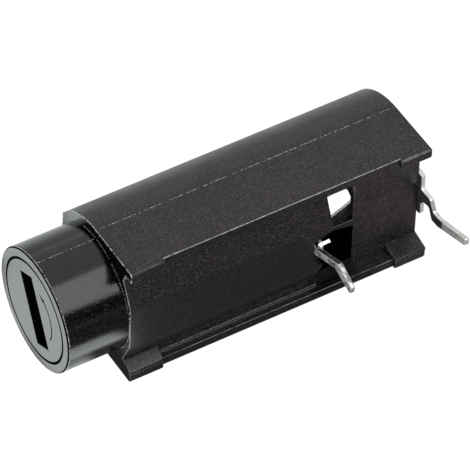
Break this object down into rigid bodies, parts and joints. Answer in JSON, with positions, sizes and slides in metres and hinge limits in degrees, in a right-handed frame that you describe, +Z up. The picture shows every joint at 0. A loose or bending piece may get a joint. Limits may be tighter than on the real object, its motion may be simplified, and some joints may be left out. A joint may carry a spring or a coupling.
{
  "type": "panel fuse holder",
  "caption": "Black panel fuse holder for a circuit board, with a slotted bayonet cap and two kinked solder pins.",
  "frame": {"origin": "on the fuse axis, where the round neck leaves the front shoulder of the housing", "axes": "+X along the fuse axis to the rear, -Y towards the circuit board, +Z up with the holder lying on one skirt"},
  "size_m": [0.0396, 0.0189, 0.0146],
  "materials": {
    "black_thermoplastic": "satin",
    "cap_thermoplastic": "satin",
    "tinned_metal": "satin",
    "spring_steel": "bright"
  },
  "bodies": {
    "body": {"housing": "black_thermoplastic", "side_terminal": "tinned_metal", "rear_terminal": "tinned_metal", "rear_spring": "spring_steel"},
    "carrier": {"fuse_clip": "tinned_metal"},
    "cap": {"carrier_cap": "cap_thermoplastic"},
    "cup": {"contact_cup": "tinned_metal"}
  },
  "joints": [
    {"name": "carrier_slide", "type": "slide", "parent": "body", "child": "carrier", "axis": [-1, 0, 0], "range_m": [0, 0.036]},
    {"name": "cap_turn", "type": "hinge", "parent": "carrier", "child": "cap", "pos_m": [0, 0, 0], "axis": [1, 0, 0], "range_deg": [0, 60]},
    {"name": "cup_plunge", "type": "slide", "parent": "body", "child": "cup", "axis": [1, 0, 0], "range_m": [0, 0.0025], "deforming": ["rear_spring"]}
  ]
}
